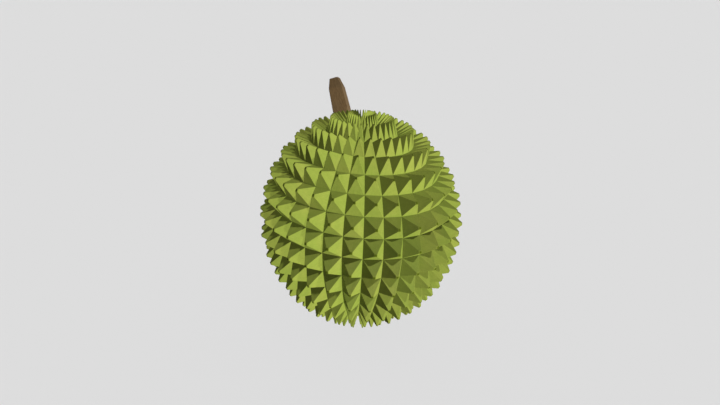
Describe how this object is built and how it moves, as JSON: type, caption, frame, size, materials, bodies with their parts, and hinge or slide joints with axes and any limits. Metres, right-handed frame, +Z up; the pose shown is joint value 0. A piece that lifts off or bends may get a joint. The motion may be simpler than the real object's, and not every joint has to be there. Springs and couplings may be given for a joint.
{
  "type": "durian fruit",
  "caption": "Whole durian: a thorny green husk resting on the small flat spot at its blossom end, with its cut brown stalk standing at the back of the top.",
  "frame": {"origin": "middle of the footprint, on the surface that the fruit rests on", "axes": "+Z up from the blossom end; the front looks along -Y; +X to the right seen from the front; the stalk leans towards +Y and a little to -X"},
  "size_m": [0.1744, 0.1826, 0.2153],
  "materials": {
    "husk": "matt green thorny rind with darker blunt thorn tips",
    "stalk": "matt brown woody stalk with fine lengthwise fibres"
  },
  "bodies": {
    "root": {"husk": "husk", "stalk": "stalk"}
  },
  "joints": []
}
